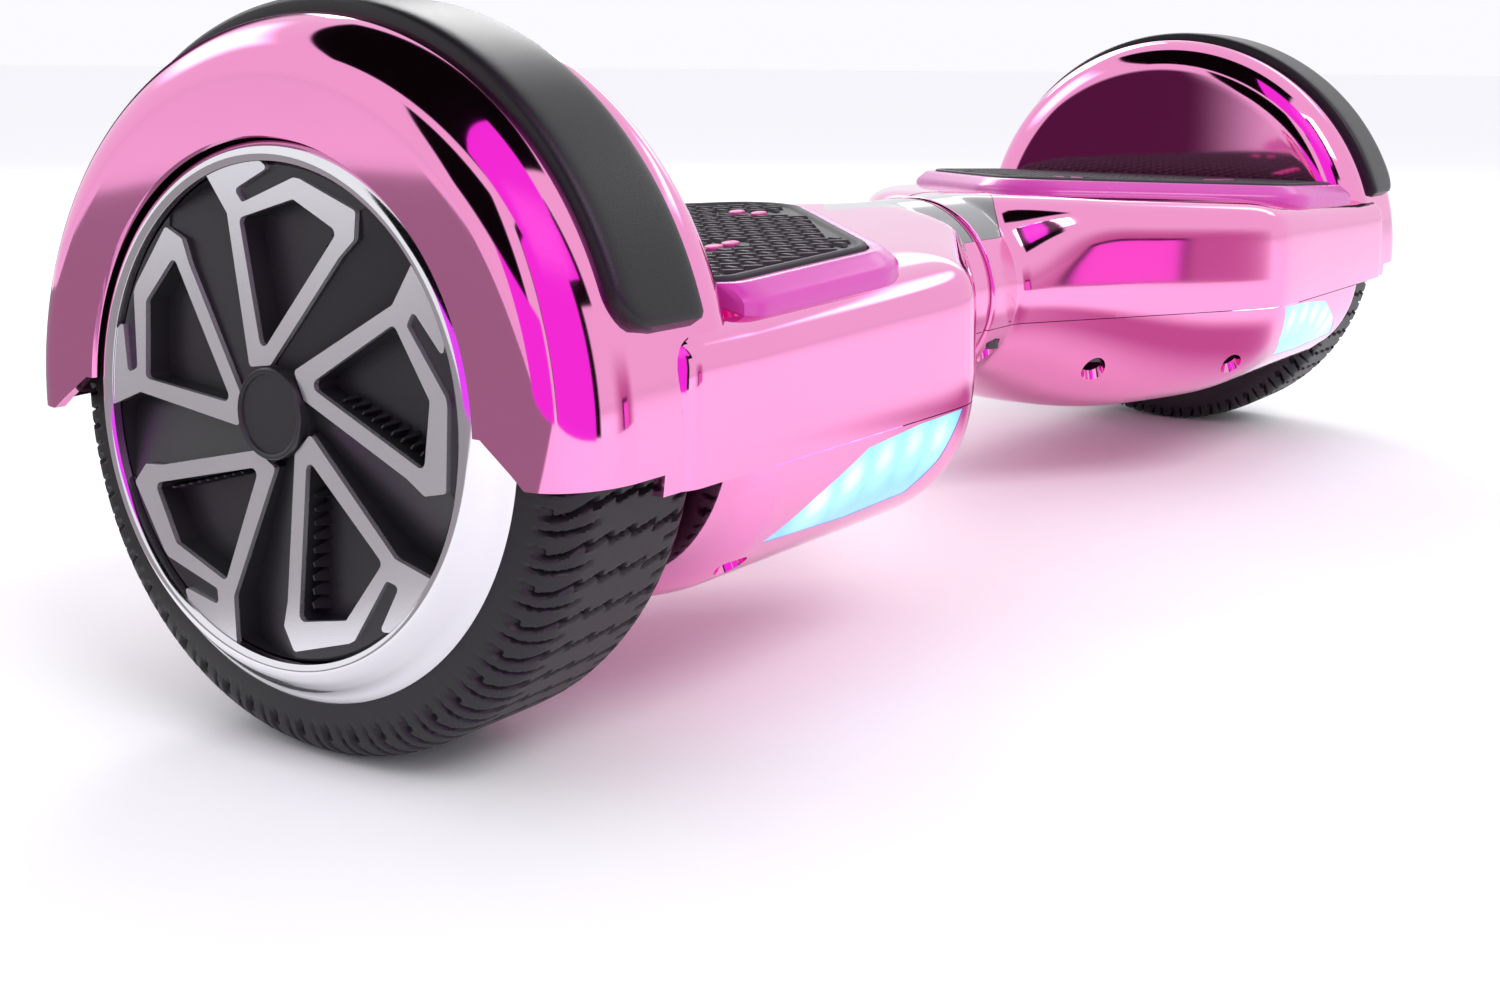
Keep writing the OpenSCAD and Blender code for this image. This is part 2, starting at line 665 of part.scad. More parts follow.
on_side(false) axle_clamp();  // right_axle_clamp
on_side(false) clamp_bolts();  // right_clamp_bolts
on_side(false) shell_screws();  // right_shell_screws
on_side(false) axle();  // right_axle
on_side(false) stator();  // right_stator
on_side(false) tyre();  // right_tyre
on_side(false) motor_shell();  // right_motor_shell
on_side(false) motor_cover();  // right_motor_cover
on_side(false) magnet_ring();  // right_magnet_ring
on_side(false) wheel_bearings();  // right_wheel_bearings
on_side(false) chrome_ring();  // right_chrome_ring
on_side(false) hubcap();  // right_hubcap
on_side(false) spoke_trim();  // right_spoke_trim
on_side(false) centre_cap();  // right_centre_cap
pivot_shaft();
pivot_bushes();
pivot_circlip();
joint_seal();
on_side(true) battery_pack();
main_board();
power_button();
button_switch();
on_side(true) charge_socket();
link_cable();
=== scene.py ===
import math

import bmesh
import bpy
import numpy as np
from mathutils import Matrix, Vector


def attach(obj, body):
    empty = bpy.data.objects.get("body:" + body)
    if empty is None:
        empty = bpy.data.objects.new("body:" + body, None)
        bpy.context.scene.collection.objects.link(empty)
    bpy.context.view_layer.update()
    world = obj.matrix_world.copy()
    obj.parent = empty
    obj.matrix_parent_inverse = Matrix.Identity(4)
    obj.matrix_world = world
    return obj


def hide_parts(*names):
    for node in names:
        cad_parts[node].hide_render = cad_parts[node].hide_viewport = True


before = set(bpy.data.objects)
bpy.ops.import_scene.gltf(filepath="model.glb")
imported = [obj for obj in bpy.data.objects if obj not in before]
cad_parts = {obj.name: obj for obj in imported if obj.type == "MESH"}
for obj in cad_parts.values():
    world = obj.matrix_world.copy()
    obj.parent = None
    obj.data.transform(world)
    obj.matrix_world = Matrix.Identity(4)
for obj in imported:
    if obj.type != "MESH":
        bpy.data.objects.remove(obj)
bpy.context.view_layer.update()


# ---- Bottom shells
# Each half's belly is one injection moulded shell, plated pink, that hangs under the chassis from four
# screws in slanted recesses. It carries the headlight and ends in a rounded face beside the wheel.

half_length, half_width, wheel_radius = 292, 93, 82.5
neck_radius, neck_end, flare_end, well = 33, 22, 125, 230
deck_rise, belly_drop, seam = 25.5, 54.5, 70.5
neck_face, wall, seam_gap, lip = 1.2, 3, 0.15, 1.2
recess_radius, recess_depth = 4.6, 5


class Socket:
    """A shader socket that takes part in sums: each operator adds its own Math node."""

    def __init__(self, nodes, socket):
        self.nodes, self.socket = nodes, socket

    def maths(self, operation, *values):
        return self.nodes.add("ShaderNodeMath", {"operation": operation}, dict(enumerate(values)))

    def __add__(self, other):
        return self.maths("ADD", self, other)

    def __sub__(self, other):
        return self.maths("SUBTRACT", self, other)

    def __mul__(self, other):
        return self.maths("MULTIPLY", self, other)


class Nodes:
    """The nodes of one material or geometry tree."""

    def __init__(self, tree):
        self.tree = tree

    def put(self, place, value):
        if isinstance(value, Socket):
            self.tree.links.new(value.socket, place)
        else:
            place.default_value = value

    def add(self, kind, settings=None, values=None, output=0):
        node = self.tree.nodes.new(kind)
        for name, value in (settings or {}).items():
            if name == "stops":
                stops = node.color_ramp.elements
                while len(stops) < len(value):
                    stops.new(0.5)
                for stop, (place, colour) in zip(stops, value):
                    stop.position, stop.color = place, colour
            else:
                setattr(node, name, value)
        for place, value in (values or {}).items():
            self.put(node.inputs[place], value)
        return Socket(self, node.outputs[output])

    def place(self):
        return self.add("ShaderNodeTexCoord", output="Object")

    def noise(self, scale, detail=2, place=None):
        return self.add("ShaderNodeTexNoise", None,
                        {"Vector": place or self.place(), "Scale": scale, "Detail": detail}, "Fac")

    def mix(self, amount, low, high):
        return self.add("ShaderNodeMix", {"data_type": "RGBA"}, {0: amount, 6: low, 7: high}, 2)

    def ramp(self, value, *stops):
        return self.add("ShaderNodeValToRGB", {"stops": stops}, {0: value})

    def bump(self, height, strength, depth):
        return self.add("ShaderNodeBump", None, {"Height": height, "Strength": strength, "Distance": depth})


def finish(name, colour, roughness, drift=0.05, spread=0.08, grain=1200, relief=0.05, more=None, **fixed):
    """A finish whose colour and roughness drift a little over the piece, over a fine grain."""
    material = bpy.data.materials.new(name)
    material.use_nodes = True
    nodes = Nodes(material.node_tree)
    shader = material.node_tree.nodes["Principled BSDF"].inputs
    patches = nodes.noise(30, 3)
    low = tuple(c * (1 - drift) for c in colour) + (1,)
    high = tuple(min(1, c * (1 + drift)) for c in colour) + (1,)
    nodes.put(shader["Base Color"], nodes.mix(patches, low, high))
    nodes.put(shader["Roughness"], patches * spread + (roughness - spread / 2))
    if relief:
        nodes.put(shader["Normal"], nodes.bump(nodes.noise(grain, 2), relief, 0.0002))
    for key, value in fixed.items():
        shader[key.replace("_", " ")].default_value = value
    if more:
        more(nodes, shader)
    return material


def make(name, points, faces):
    """A mesh object from points in millimetres, with its doubles merged and its faces turned outwards."""
    data = bpy.data.meshes.new(name)
    data.from_pydata((np.asarray(points, float).reshape(-1, 3) / 1000).tolist(), [], faces)
    mesh = bmesh.new()
    mesh.from_mesh(data)
    bmesh.ops.remove_doubles(mesh, verts=mesh.verts, dist=2e-6)
    bmesh.ops.recalc_face_normals(mesh, faces=mesh.faces)
    mesh.to_mesh(data)
    mesh.free()
    piece = bpy.data.objects.new(name, data)
    bpy.context.collection.objects.link(piece)
    return piece


def loft(name, rings, ring_closed=False):
    """A closed solid through rings of equally many points. A closed loft runs back into its first ring."""
    rings = np.asarray(rings, float)
    count, size = rings.shape[:2]
    i, j = np.meshgrid(np.arange(count if ring_closed else count - 1), np.arange(size), indexing="ij")
    after, beside = (i + 1) % count, (j + 1) % size
    faces = np.stack([i * size + j, i * size + beside, after * size + beside, after * size + j], -1)
    faces = faces.reshape(-1, 4).tolist()
    if not ring_closed:
        faces += [list(range(size)), list(range((count - 1) * size, count * size))]
    return make(name, rings, faces)


def settle(piece):
    """Applies a piece's modifiers to its mesh."""
    bpy.context.view_layer.update()
    data = bpy.data.meshes.new_from_object(piece.evaluated_get(bpy.context.evaluated_depsgraph_get()))
    piece.modifiers.clear()
    piece.data = data


def carve(piece, *tools, operation="DIFFERENCE"):
    """Cuts closed tools out of a closed piece, or joins or crosses it with them. The tools go."""
    for tool in tools:
        step = piece.modifiers.new("carve", "BOOLEAN")
        step.operation, step.object, step.solver = operation, tool, "MANIFOLD"
        settle(piece)
        bpy.data.objects.remove(tool)
    return piece


def block(low, high):
    x, y, z = zip(low, high)
    ring = [(0, 0), (1, 0), (1, 1), (0, 1)]
    return loft("block", [[(x[a], y[b], z[c]) for a, b in ring] for c in (0, 1)])


def twin(piece, name):
    """The same piece of the other half, mirrored across the board's middle."""
    other = bpy.data.objects.new(name, piece.data.copy())
    bpy.context.collection.objects.link(other)
    other.data.transform(Matrix.Scale(-1, 4, (1, 0, 0)))
    other.data.flip_normals()
    return other


def paint(piece, material):
    piece.data.materials.clear()
    piece.data.materials.append(material)
    piece.data.polygons.foreach_set("material_index", [0] * len(piece.data.polygons))


def dress(piece, material, body, slot, *nodes, sharp=32):
    """Smooths a piece up to its sharp edges, gives it its finish and its body, and hides the CAD nodes it stands in
    for.
    """
    if material:
        paint(piece, material)
    piece.data.shade_smooth()
    piece.data.set_sharp_from_angle(angle=math.radians(sharp))
    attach(piece, body)
    if nodes:
        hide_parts(*nodes)
    return piece


def on_both_sides(piece, material, body, slot, node, sharp=32):
    """Dresses a right-hand piece and its mirrored twin on the left."""
    other = twin(piece, "left_" + piece.name.removeprefix("right_"))
    for one, side in ((piece, "right"), (other, "left")):
        dress(one, material, f"{side}_{body}", slot, *[f"{side}_{node}"] if node else [], sharp=sharp)
    return piece, other


def coat(material, *names):
    """Gives CAD nodes a better finish."""
    for name in names:
        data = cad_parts[name].data
        data.materials.clear()
        data.materials.append(material)


def ease(value, start, end):
    step = np.clip((np.asarray(value, float) - start) / (end - start), 0, 1)
    return step * step * (3 - 2 * step)


def shell_ring(s, inset=0, points=176):
    """The body's outline at s millimetres from the middle, spaced evenly round it."""
    slope = (half_width - neck_radius) / (flare_end - neck_end)
    flare = neck_radius + slope * (s - neck_end)
    wide = max(neck_radius, (flare + half_width - math.hypot(flare - half_width, 3)) / 2) - inset
    middle = wheel_radius + 2.5 * ease(s, neck_end, flare_end)
    rise = neck_radius + (deck_rise - neck_radius) * np.clip((s - neck_end) / (well - neck_end), 0, 1)
    drop = neck_radius + (belly_drop - neck_radius) * ease(s, neck_end - 6, flare_end * 0.8)
    top_power = 2 / (2 + 4.5 * ease(s, neck_end - 2, neck_end + 40))
    low_power = 2 / (2 + 0.8 * ease(s, neck_end - 2, flare_end))
    outline = []
    for start, height, power in ((0, wheel_radius + rise - middle - inset, top_power),
                                 (math.pi / 2, wheel_radius + rise - middle - inset, top_power),
                                 (math.pi, middle - wheel_radius + drop - inset, low_power),
                                 (math.pi * 1.5, middle - wheel_radius + drop - inset, low_power)):
        turn = start + np.linspace(0, 1, 500) * math.pi / 2
        c, d = np.cos(turn), np.sin(turn)
        side = np.stack([wide * np.sign(c) * abs(c) ** power, middle + height * np.sign(d) * abs(d) ** power], 1)
        length = np.insert(np.cumsum(np.hypot(*np.diff(side, axis=0).T)), 0, 0)
        at = np.linspace(0, length[-1], points // 4 + 1)[:-1]
        outline.append(np.stack([np.interp(at, length, side[:, 0]), np.interp(at, length, side[:, 1])], 1))
    outline = np.concatenate(outline)
    return np.column_stack([np.full(len(outline), s), outline])


def body_tube(start, end, inset=0, step=2.5, round_end=0, lip=0):
    """The body's solid between two distances from the middle, its far end rounded over if asked."""
    places = list(np.arange(start, end, step)) + [end]
    insets = [inset] * len(places)
    if round_end:
        places = list(np.arange(start, end - round_end, step))
        insets = [inset] * len(places)
        for turn in np.radians(np.linspace(0, 78, 12)):
            places.append(end - round_end + round_end * math.sin(turn))
            insets.append(inset + round_end * (1 - math.cos(turn)))
    if lip:
        for k, turn in enumerate(np.radians((90, 60, 30))):
            places.insert(k, start + lip * (1 - math.sin(turn)))
            insets.insert(k, inset + lip * (1 - math.cos(turn)))
        places[3] = start + lip
    return loft("tube", [shell_ring(s, i) for s, i in zip(places, insets)])


def prism(outline, low, high, axis="z"):
    """A closed prism of a plan outline, or of an x, z outline that runs along y."""
    rings = [[(a, b, k) if axis == "z" else (a, k, b) for a, b in outline] for k in (low, high)]
    return loft("prism", rings)


def rod(x, y, low, high, radius, points=48):
    turns = np.linspace(0, 2 * math.pi, points, endpoint=False)
    return prism([(x + radius * math.cos(t), y + radius * math.sin(t)) for t in turns], low, high)


headlight_outline = [(131, 70), (155, 69.5), (180, 67.5), (200, 58.5), (215, 49.5), (175, 47.5), (146, 48.5),
                     (137, 56.5)]
screw_spots = [(12, 25, 66), (63, 42, 56.5), (115, 73, 56.5), (218, 71, 56.5)]

pink = (0.9, 0.32, 0.6)


def plated(nodes, shader):
    clouds = nodes.noise(9, 4)
    nodes.put(shader["Roughness"], clouds * 0.05 + 0.035)
    nodes.put(shader["Normal"], nodes.bump(nodes.noise(60, 1), 0.02, 0.0004))


chrome_pink = finish("plated_pink", pink, 0.06, drift=0.03, relief=0, more=plated, Metallic=1.0)

belly = body_tube(neck_face, well, round_end=12, lip=lip)
carve(belly, block((-1, -120, seam - seam_gap), (300, 120, 200)))
carve(belly, body_tube(neck_face + wall, 226, inset=wall, round_end=10))
carve(belly, prism(headlight_outline, -120, -60, "y"))
for s, y, seat in screw_spots:
    for side in (-1, 1):
        slant = 26 if y > 60 else 8
        ring = [(s + recess_radius * math.cos(t), recess_radius * math.sin(t))
                for t in np.linspace(0, 2 * math.pi, 48, endpoint=False)]
        carve(belly, loft("recess", [[(a, side * (y + out) + b, z) for a, b in ring]
                                     for z, out in ((-recess_depth, slant), (seat, 0))]))
belly.name = "right_bottom_shell_plated"
on_both_sides(belly, chrome_pink, "half", "shell_chrome", "bottom_shell")


# ---- Top shells
# The deck, the wheel cover and the neck of each half are one plated moulding. It drops onto the bottom shell
# at the seam, and has holes for the lit window and the rear port; those for the pad's switches are left out.

cover_reach = 91.5


def turned(name, section, turns=240, x_shift=0.0):
    """A closed section of (radius, x) points turned about the axle."""
    section = np.asarray(section, float)
    angle = np.linspace(0, 2 * math.pi, turns, endpoint=False)[:, None]
    return loft(name, np.stack([np.broadcast_to(section[:, 1] + x_shift, (turns, len(section))),
                                np.cos(angle) * section[:, 0],
                                wheel_radius + np.sin(angle) * section[:, 0]], -1), ring_closed=True)


def arc(centre, radii, start, end, points=14):
    turns = np.radians(np.linspace(start, end, points))
    return [(centre[0] + radii[0] * math.cos(t), centre[1] + radii[1] * math.sin(t)) for t in turns]


def finer(section, step=2.0):
    """The same closed section with points added along its long straight sides."""
    out = []
    for a, b in zip(section, section[1:] + section[:1]):
        count = max(1, int(math.dist(a, b) / step))
        out += [(a[0] + (b[0] - a[0]) * k / count, a[1] + (b[1] - a[1]) * k / count) for k in range(count)]
    return out


cover_section = finer([(14, 230), (14, 227)] + arc((75.5, 243), (16, 16), -90, 0, 20)
                      + arc((77.5, 272), (14, 20), 0, 90, 24) + [(62.9, 291.6), (62.5, 290.4), (63, 289.3)]
                      + arc((77.5, 272), (11, 17), 90, 0, 20) + arc((75.5, 243), (13, 13), 0, -90, 16))
deck = body_tube(neck_face, 262, lip=lip, round_end=11)
carve(deck, turned("round", [(0, 400), (0, 228), (88.5, 228), (88.5, 400)]))
carve(deck, turned("cover", cover_section), operation="UNION")
carve(deck, block((-1, -120, -20), (263, 120, seam + seam_gap)), block((263, -120, -20), (300, 120, 75.5)))
flare_cut = [(-65, 84.5), (-73.5, 78.5), (-80, 73.5), (80, 73.5), (73.5, 78.5), (65, 84.5)]
carve(deck, loft("flare", [[(x, y, z) for y, z in flare_cut] for x in (255, 300)]))
carve(deck, body_tube(neck_face + wall, 224, inset=wall))
window_outline = [(2.7, -27), (18, -27), (26, -20), (56, 0), (26, 20), (18, 27), (2.7, 27)]
carve(deck, prism(window_outline, 90, 140))
port_radius = 12.8
port_pocket = loft("port", [[(150 + port_radius * math.cos(t), y, 85 + port_radius * math.sin(t))
                             for t in np.linspace(0, 2 * math.pi, 64, endpoint=False)] for y in (89.5, 120)])
carve(deck, port_pocket)
deck.name = "right_top_shell_plated"
on_both_sides(deck, chrome_pink, "half", "shell_chrome", "top_shell")


# ---- Joint ring
# A darker magenta rubber ring fills the gap between the two plated necks, and lets the halves turn
# against each other.

magenta_rubber = finish("seal_rubber", (0.45, 0.03, 0.22), 0.45, grain=2500, relief=0.15)
coat(magenta_rubber, "joint_seal")


# ---- Bumpers
# A satin black strip of soft plastic lies over the crown of each wheel cover, held by clips and tape. Its
# ends are thinner, and rounded at the outer corner.

bumper_thick, bumper_wide, bumper_foot = 3.5, 28, 106
bumper_middle, bumper_radius = half_length - 30, 93
outer_corner, inner_corner = 11, 3


def cover_skin(x):
    return 77.5 + 14 * math.sqrt(max(0, 1 - ((x - 272) / 20) ** 2)) if x > 272 else cover_reach


rings = []
end_turn = math.asin((bumper_foot - wheel_radius) / bumper_radius)
for turn in np.linspace(end_turn + 1e-4, math.pi - end_turn - 1e-4, 200):
    short = bumper_radius * min(turn - end_turn, math.pi - end_turn - turn)
    outer_cut, inner_cut = (r - math.sqrt(r * r - max(0, r - short) ** 2) for r in (outer_corner, inner_corner))
    outer = bumper_middle + bumper_wide / 2 - outer_cut
    inner = bumper_middle - bumper_wide / 2 + inner_cut
    thin = math.sqrt(1 - max(0, 1 - short / 2.5) ** 2)
    across = [(x, cover_skin(x) + thin * bumper_thick * math.sqrt(max(0.02, 1 - abs(2 * k - 1) ** 5)))
              for k, x in ((k, inner + (outer - inner) * (1 - math.cos(math.pi * k)) / 2)
                           for k in np.linspace(0, 1, 28))]
    across += [(x, cover_skin(x) - 0.4) for x in np.linspace(outer, inner, 10)]
    rings.append([(x, -math.cos(turn) * r, wheel_radius + math.sin(turn) * r) for x, r in across])
bumper = loft("right_bumper_strip", rings)
bumper_plastic = finish("bumper_plastic", (0.007, 0.007, 0.008), 0.36, drift=0.2, grain=3200, relief=0.3,
                        Specular_IOR_Level=0.35)
on_both_sides(bumper, bumper_plastic, "half", "bumper_plastic", "bumper", sharp=40)


# ---- Pad skirts
# A magenta plastic collar stands round each foot pad. It is screwed down from under the deck, and its
# outside slopes up to the pad.

pad_tilt, pad_base = math.radians(2.4), wheel_radius + deck_rise - 1


def tilted(points):
    """Points of the pad's own frame, which leans about the line where the pad meets the wheel cover."""
    points = np.asarray(points, float)
    s, z = points[..., 0] - 227, points[..., 2]
    return np.stack([227 + s * math.cos(pad_tilt) + z * math.sin(pad_tilt), points[..., 1],
                     pad_base - s * math.sin(pad_tilt) + z * math.cos(pad_tilt)], -1)


def pad_ring(grow, z, points=240):
    """The pad's outline, grown outwards and spaced evenly."""
    tip, corner, end = (109, 22), (168, 58, 22), (219.5, 74, 6)
    lean = math.degrees(math.atan2(-59, -58)) + 360
    half = arc((tip[0], 0), (tip[1] + grow,) * 2, 360 - lean, 180, 24)
    half += arc((tip[0], 0), (tip[1] + grow,) * 2, 180, lean, 24)[1:]
    half += arc((corner[0], -corner[1]), (corner[2] + grow,) * 2, lean, 270, 16)
    half += arc((end[0], -end[1]), (end[2] + grow,) * 2, 270, 360, 12)
    half += arc((end[0], end[1]), (end[2] + grow,) * 2, 0, 90, 12)
    half += arc((corner[0], corner[1]), (corner[2] + grow,) * 2, 90, 360 - lean, 16)
    line = np.array(half + half[:1])
    length = np.insert(np.cumsum(np.hypot(*np.diff(line, axis=0).T)), 0, 0)
    at = np.linspace(0, length[-1], points + 1)[:-1]
    x = np.minimum(np.interp(at, length, line[:, 0]), 226.7)
    return tilted(np.column_stack([x, np.interp(at, length, line[:, 1]), np.full(points, z)]))


skirt_steps = [(8, -9), (8, 0.2), (7.85, 0.9), (7.4, 1.6), (6.6, 2.4), (4.2, 4.4), (3.6, 4.85), (2.9, 5), (0.9, 5),
               (0.35, 4.6), (0.3, 4), (0.3, -9)]
skirt = loft("right_pad_skirt_collar", [pad_ring(*step) for step in skirt_steps], ring_closed=True)
carve(skirt, body_tube(0.5, 262))
skirt_plastic = finish("skirt_plastic", (0.52, 0.045, 0.36), 0.26, grain=2600, relief=0.05, Coat_Weight=0.2,
                       Coat_Roughness=0.15, Subsurface_Weight=0.1, Subsurface_Scale=0.004,
                       Subsurface_Radius=(1, 0.3, 0.7))
on_both_sides(skirt, skirt_plastic, "half", "skirt_plastic", "pad_skirt", sharp=38)


# ---- Foot pads
# Each pad is a moulded near-black rubber mat with a raised rim and rows of small slanted grip bars. It
# rests on four posts over the rider's switches, and a few magenta studs mark its middle.


def instancing_tree():
    """Sets a scaled and turned copy of a small shape on each point of a layout."""
    tree = bpy.data.node_groups.new("set_out", "GeometryNodeTree")
    tree.interface.new_socket("Layout", in_out="INPUT", socket_type="NodeSocketGeometry")
    for label, kind in (("Shape", "Object"), ("Length", "Float"), ("Width", "Float"), ("Height", "Float"),
                        ("Finish", "Material")):
        tree.interface.new_socket(label, in_out="INPUT", socket_type="NodeSocket" + kind)
    tree.interface.new_socket("Mesh", in_out="OUTPUT", socket_type="NodeSocketGeometry")
    nodes = Nodes(tree)
    given = tree.nodes.new("NodeGroupInput")
    layout, shape, length, width, height, surface = [Socket(nodes, s) for s in given.outputs[:6]]
    size = nodes.add("ShaderNodeCombineXYZ", None, {0: length, 1: width, 2: height})
    turn = nodes.add("GeometryNodeInputNamedAttribute", {"data_type": "FLOAT_VECTOR"}, {"Name": "turn"})
    bigger = nodes.add("GeometryNodeInputNamedAttribute", {"data_type": "FLOAT_VECTOR"}, {"Name": "share"})
    scaled = nodes.add("ShaderNodeVectorMath", {"operation": "MULTIPLY"}, {0: size, 1: bigger})
    source = nodes.add("GeometryNodeObjectInfo", None, {"Object": shape}, "Geometry")
    points = nodes.add("GeometryNodeMeshToPoints", None, {"Mesh": layout})
    copies = nodes.add("GeometryNodeInstanceOnPoints", None,
                       {"Points": points, "Instance": source, "Rotation": turn, "Scale": scaled})
    real = nodes.add("GeometryNodeRealizeInstances", None, {0: copies})
    painted = nodes.add("GeometryNodeSetMaterial", None, {"Geometry": real, "Material": surface})
    tree.links.new(painted.socket, tree.nodes.new("NodeGroupOutput").inputs[0])
    return tree


set_out = instancing_tree()


def spread(name, spots, turns, shape, size, material, shares=None):
    """A mesh of copies of a shape, one on each spot (millimetres), turned and scaled as given."""
    data = bpy.data.meshes.new(name)
    data.from_pydata((np.asarray(spots, float) / 1000).tolist(), [], [])
    shares = np.ones((len(spots), 3)) if shares is None else np.asarray(shares, float)
    for label, values in (("turn", turns), ("share", shares)):
        attribute = data.attributes.new(label, "FLOAT_VECTOR", "POINT")
        attribute.data.foreach_set("vector", np.asarray(values, np.float32).ravel())
    piece = bpy.data.objects.new(name, data)
    bpy.context.collection.objects.link(piece)
    step = piece.modifiers.new("set out", "NODES")
    step.node_group = set_out
    given = {item.name: item.identifier for item in set_out.interface.items_tree if item.in_out == "INPUT"}
    for label, value in (("Shape", shape), ("Length", size[0] / 1000), ("Width", size[1] / 1000),
                         ("Height", size[2] / 1000), ("Finish", material)):
        step[given[label]] = value
    settle(piece)
    return piece


def join(piece, *others):
    """Joins pieces into one mesh that keeps their finishes."""
    with bpy.context.temp_override(active_object=piece, object=piece, selected_editable_objects=[piece, *others],
                                   selected_objects=[piece, *others]):
        bpy.ops.object.join()
    return piece


pad_steps = [(-0.3, 2.8), (-0.3, 5.1), (-0.45, 5.6), (-0.9, 5.95), (-1.5, 6.05), (-2.2, 6.0), (-2.8, 5.7),
             (-3.3, 5.2), (-3.8, 5.0)]
pad = loft("right_foot_pad_mat", [pad_ring(*step) for step in pad_steps])
for s in (125, 180):
    for y in (-30, 30):
        carve(pad, rod(s, y, 96.9, 112.6 + (227 - s) * math.tan(pad_tilt) - 2.5, 4, 32), operation="UNION")
# One grip bar: a low slanted block whose top is smaller than its foot, one unit long, wide and high
bar = make("bar", [((x + 0.25 * y) * k, y * k, z) for k, z in ((0.5, 0), (0.4, 1))
                   for x, y in ((-1, -1), (1, -1), (1, 1), (-1, 1))],
           [(0, 1, 2, 3), (4, 5, 6, 7), (0, 1, 5, 4), (1, 2, 6, 5), (2, 3, 7, 6), (3, 0, 4, 7)])
bar.data.transform(Matrix.Scale(1000, 4))
stud_ring = [[(math.cos(t) * k / 2, math.sin(t) * k / 2, z)
              for t in np.linspace(0, 2 * math.pi, 24, endpoint=False)]
             for k, z in ((1, 0), (1, 0.55), (0.92, 0.85), (0.75, 1))]
stud = loft("stud", stud_ring)
stud.data.transform(Matrix.Scale(1000, 4))


pad_plan = pad_ring(0, 0)[:, :2]


def inside_pad(s, y, margin):
    """Whether a point lies inside the pad's outline by a margin."""
    crossings = 0
    for (a, b), (c, d) in zip(pad_plan, np.roll(pad_plan, -1, 0)):
        if (b > y) != (d > y) and s < a + (y - b) / (d - b) * (c - a):
            crossings += 1
    return crossings % 2 == 1 and np.min(np.hypot(pad_plan[:, 0] - s, pad_plan[:, 1] - y)) > margin


pad_top = 4.95
row_pitch, bar_pitch, bar_lean = 4.1, 6.6, math.radians(28)
marks = [(195 - 7.6 * k, -44) for k in range(4)] + [(112, -4), (112, -12)]
spots, turns = [], []
for row, s in enumerate(np.arange(90, 226, row_pitch)):
    for y in np.arange(-80, 80, bar_pitch):
        y = y + (row % 2) * bar_pitch / 2
        clear = all(math.hypot(s - a, y - b) > 6.2 for a, b in marks)
        if clear and inside_pad(s, y, 6.4):
            spots.append(tilted([s, y, pad_top]))
            turns.append((0, pad_tilt, math.pi / 2 + (bar_lean if row % 2 else -bar_lean)))
pad_rubber = finish("pad_rubber", (0.022, 0.022, 0.024), 0.62, drift=0.25, grain=3000, relief=0.4)
paint(pad, pad_rubber)
bars = spread("bars", spots, turns, bar, (6.0, 2.4, 1.0), pad_rubber)
studs = spread("studs", [tilted([a, b, pad_top]) for a, b in marks], [(0, pad_tilt, -0.2)] * len(marks), stud,
               (7.4, 4.6, 1.1), magenta_rubber)
join(pad, bars, studs)
bpy.data.objects.remove(bar)
bpy.data.objects.remove(stud)
on_both_sides(pad, None, "pad", "pad_rubber", "foot_pad", sharp=30)


# ---- Indicator windows
# A smoked plastic window lies flush with each neck, in front of the pad. The battery and fault lights
# shine through it.

window = body_tube(1.9, 60, inset=0.15, step=1.5)
carve(window, prism([(a + (0.4 if a < 3 else 0), b * 0.99) for a, b in window_outline], 90, 140),
      operation="INTERSECT")
carve(window, body_tube(0.5, 62, inset=2.6))
window.name = "right_window_pane"
smoked = finish("smoked_window", (0.12, 0.12, 0.13), 0.12, relief=0, Coat_Weight=1.0, Coat_Roughness=0.04)
on_both_sides(window, smoked, "half", "smoked_window", "indicator_window")


# ---- Headlights
# A clear pale blue lens, flush with the belly, clips into its front. It covers a strip board with five
# light-emitting diodes.

diodes = [(142, 65), (156, 65.5), (170, 64), (184, 61), (197, 56.5)]


def glow(nodes, shader):
    """Five bright spots behind a blue lens, dimmer and bluer towards its edge."""
    place = nodes.add("ShaderNodeVectorMath", {"operation": "ABSOLUTE"}, {0: nodes.place()})
    near = None
    for s, z in diodes:
        gap = nodes.add("ShaderNodeVectorMath", {"operation": "DISTANCE"},
                        {0: place, 1: (s / 1000, 0.088, z / 1000)}, "Value")
        near = gap if near is None else gap.maths("MINIMUM", near, gap)
    lit = nodes.ramp(near * 60, (0, (1, 1, 1, 1)), (0.14, (0.85, 0.97, 1, 1)), (0.34, (0.33, 0.74, 0.95, 1)),
                     (0.75, (0.1, 0.45, 0.85, 1)))
    streaks = nodes.noise(260, 3)
    nodes.put(shader["Emission Color"], nodes.mix(streaks * 0.25, lit, (0.6, 0.9, 1, 1)))


lens = body_tube(125, 222, inset=0.12, step=2)
carve(lens, prism([(a + (0.35 if a < 140 else -0.35 if a > 200 else 0), b) for a, b in headlight_outline],
                  -120, -60, "y"), operation="INTERSECT")
carve(lens, body_tube(120, 226, inset=3.2))
lens.name = "right_headlight_cover"
lens_blue = finish("headlight_lens", (0.05, 0.22, 0.4), 0.15, relief=0, more=glow, Coat_Weight=0.3,
                   Coat_Roughness=0.05, Emission_Strength=0.95)
on_both_sides(lens, lens_blue, "half", "headlight", "headlight_lens")


# ---- Tyres
# A solid rubber tyre grips each wheel motor. Long stepped grooves run across the tread, with a short
# curved groove between each two that starts low on the side wall.

